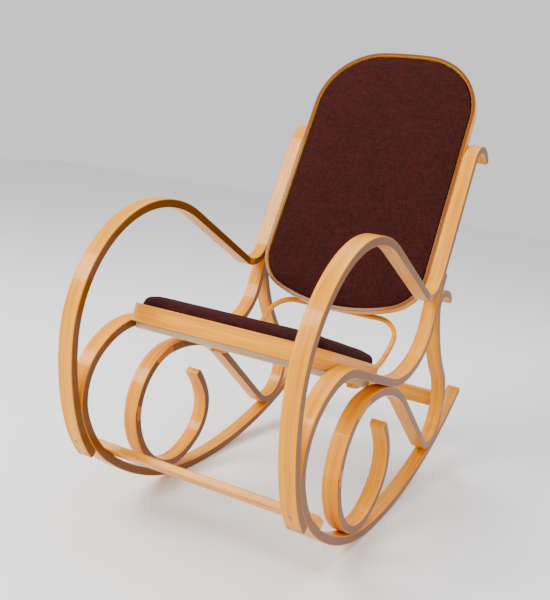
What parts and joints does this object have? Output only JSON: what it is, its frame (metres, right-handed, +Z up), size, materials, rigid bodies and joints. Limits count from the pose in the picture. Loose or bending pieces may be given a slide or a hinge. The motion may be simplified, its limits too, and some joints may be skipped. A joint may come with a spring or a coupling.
{
  "type": "rocking chair",
  "caption": "Bentwood rocking chair of layered birch strips curled into scrolled side frames, with a padded seat and a tall padded back in bent wood rings",
  "frame": {"origin": "centre of the bounding box on the floor, with the empty chair at the tilt where it balances", "axes": "+X to the right seen from the front, +Y to the rear, so that a sitter faces -Y, +Z up"},
  "size_m": [0.53, 1.1542, 1.1178],
  "materials": {
    "bent_birch": "gloss",
    "batten_wood": "matte",
    "panel_ply": "matte",
    "pad_foam": "matte",
    "pad_fabric": "matte",
    "fixing_steel": "satin",
    "insert_brass": "satin"
  },
  "bodies": {
    "root": {"back_board": "panel_ply", "back_bolts": "fixing_steel", "back_cover": "pad_fabric", "back_foam": "pad_foam", "back_inserts": "insert_brass", "back_lining": "pad_fabric", "back_ring": "bent_birch", "batten_screws": "fixing_steel", "crest_screws": "fixing_steel", "foot_screws": "fixing_steel", "front_seat_batten": "batten_wood", "front_stretcher": "bent_birch", "front_stretcher_screws": "fixing_steel", "hoop_screws": "fixing_steel", "lap_screws": "fixing_steel", "left_arm_bow": "bent_birch", "left_rocker": "bent_birch", "left_scroll": "bent_birch", "lumbar_hoop": "bent_birch", "rear_seat_batten": "batten_wood", "rear_stretcher": "bent_birch", "rear_stretcher_screws": "fixing_steel", "right_arm_bow": "bent_birch", "right_rocker": "bent_birch", "right_scroll": "bent_birch", "runner_screws": "fixing_steel", "seat_board": "panel_ply", "seat_board_screws": "fixing_steel", "seat_bolts": "fixing_steel", "seat_cover": "pad_fabric", "seat_foam": "pad_foam", "seat_inserts": "insert_brass", "seat_ring": "bent_birch"}
  },
  "joints": []
}
